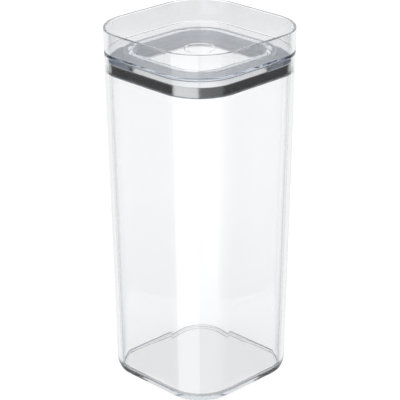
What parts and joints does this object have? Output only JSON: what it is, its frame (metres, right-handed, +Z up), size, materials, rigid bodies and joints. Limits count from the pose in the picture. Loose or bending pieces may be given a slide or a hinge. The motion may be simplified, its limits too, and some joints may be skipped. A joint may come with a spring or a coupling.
{
  "type": "lidded canister",
  "caption": "Tall square clear storage canister with a steel band lining the neck and a clear tray lid that plugs into it on grey silicone seals.",
  "frame": {"origin": "centre of the foot on the surface the canister stands on, on the axis of the jar", "axes": "+Z up along the axis of the jar; the four flat sides face +X, -X, +Y and -Y"},
  "size_m": [0.1, 0.1, 0.228],
  "materials": {
    "clear_jar": "polished clear moulding",
    "clear_lid": "polished clear moulding",
    "steel": "fine brushed, satin",
    "silicone": "matt translucent grey silicone"
  },
  "bodies": {
    "jar": {"jar_body": "clear_jar", "steel_band": "steel"},
    "lid": {"lid_shell": "clear_lid", "collar_ring": "silicone", "plug_seal": "silicone"}
  },
  "joints": [
    {"name": "lid_lift", "type": "slide", "parent": "jar", "child": "lid", "axis": [0, 0, 1], "range_m": [0, 0.12]}
  ]
}
